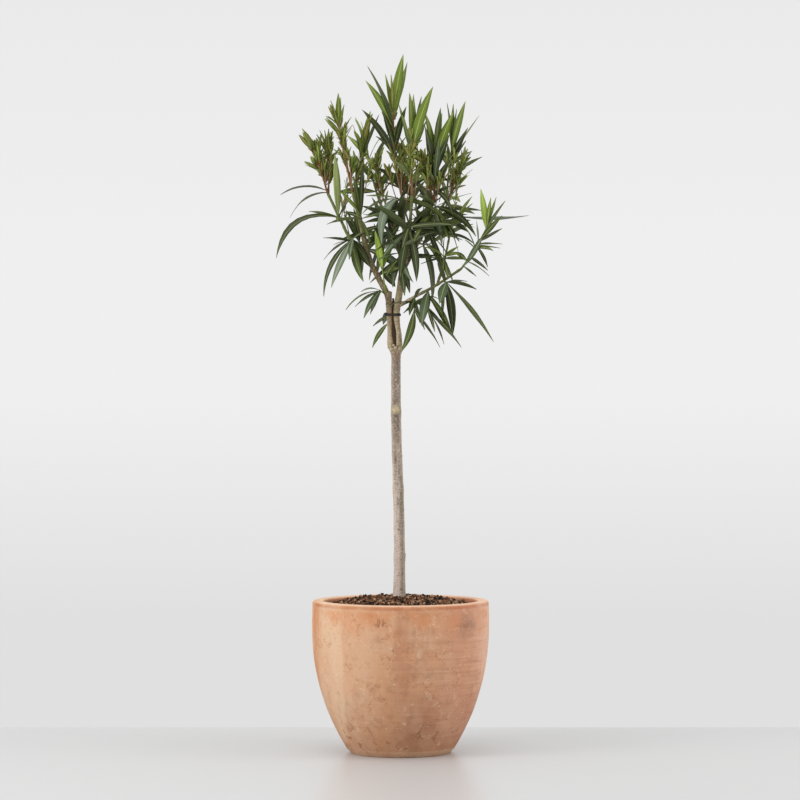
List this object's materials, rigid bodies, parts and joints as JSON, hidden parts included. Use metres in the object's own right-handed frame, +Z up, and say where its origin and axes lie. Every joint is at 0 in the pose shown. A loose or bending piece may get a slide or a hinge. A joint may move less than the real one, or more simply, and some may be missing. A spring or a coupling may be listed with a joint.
{
  "type": "potted oleander",
  "caption": "Small evergreen shrub trained on a bare stem that forks low in a narrow-leaved crown, growing in a bowl-shaped clay pot.",
  "frame": {"origin": "centre of the pot's flat underside", "axes": "+Z up along the plant, +Y towards its back, -Y towards the viewer, +X to the viewer's right"},
  "size_m": [0.43, 0.3095, 1.185],
  "materials": {
    "terracotta": "matte",
    "potting_soil": "matte",
    "bark": "matte",
    "young_bark": "matte",
    "tie_band": "matte",
    "foliage": "satin"
  },
  "bodies": {
    "root": {"pot": "terracotta", "soil": "potting_soil", "trunk": "bark", "bough_left": "bark", "bough_right": "bark", "bough_left_inner": "young_bark", "bough_left_outer": "young_bark", "bough_centre": "young_bark", "bough_front": "young_bark", "bough_right_upper": "young_bark", "bough_rear_right": "young_bark", "bough_rear_left": "young_bark", "bough_side": "young_bark", "bough_riser": "young_bark", "fork_tie": "tie_band", "shoot_top": "foliage", "shoot_front": "foliage", "shoot_right_front": "foliage", "shoot_right_rear": "foliage", "shoot_right_shoulder": "foliage", "shoot_left_tall": "foliage", "shoot_left_behind": "foliage", "shoot_left_outer": "foliage", "shoot_left_cluster": "foliage", "buds_centre": "foliage", "buds_right": "foliage", "shoot_rear_small": "foliage", "shoot_rear_left": "foliage", "shoot_rear_mid": "foliage", "shoot_rear_right": "foliage", "shoot_side_tip": "foliage", "shoot_side_riser": "foliage", "shoot_sucker": "foliage", "spray_left_arch": "foliage", "spray_left_low": "foliage", "spray_left_inner": "foliage", "spray_left_mid": "foliage", "spray_centre": "foliage", "spray_centre_mid": "foliage", "spray_front": "foliage", "spray_centre_low": "foliage", "spray_right_mid": "foliage", "spray_right_low": "foliage", "spray_side_riser": "foliage", "spray_side_low": "foliage", "spray_side_mid": "foliage", "spray_fork_right": "foliage", "spray_fork_left": "foliage", "spray_fork_rear": "foliage", "spray_rear_left_low": "foliage", "spray_rear_right_low": "foliage"}
  },
  "joints": []
}
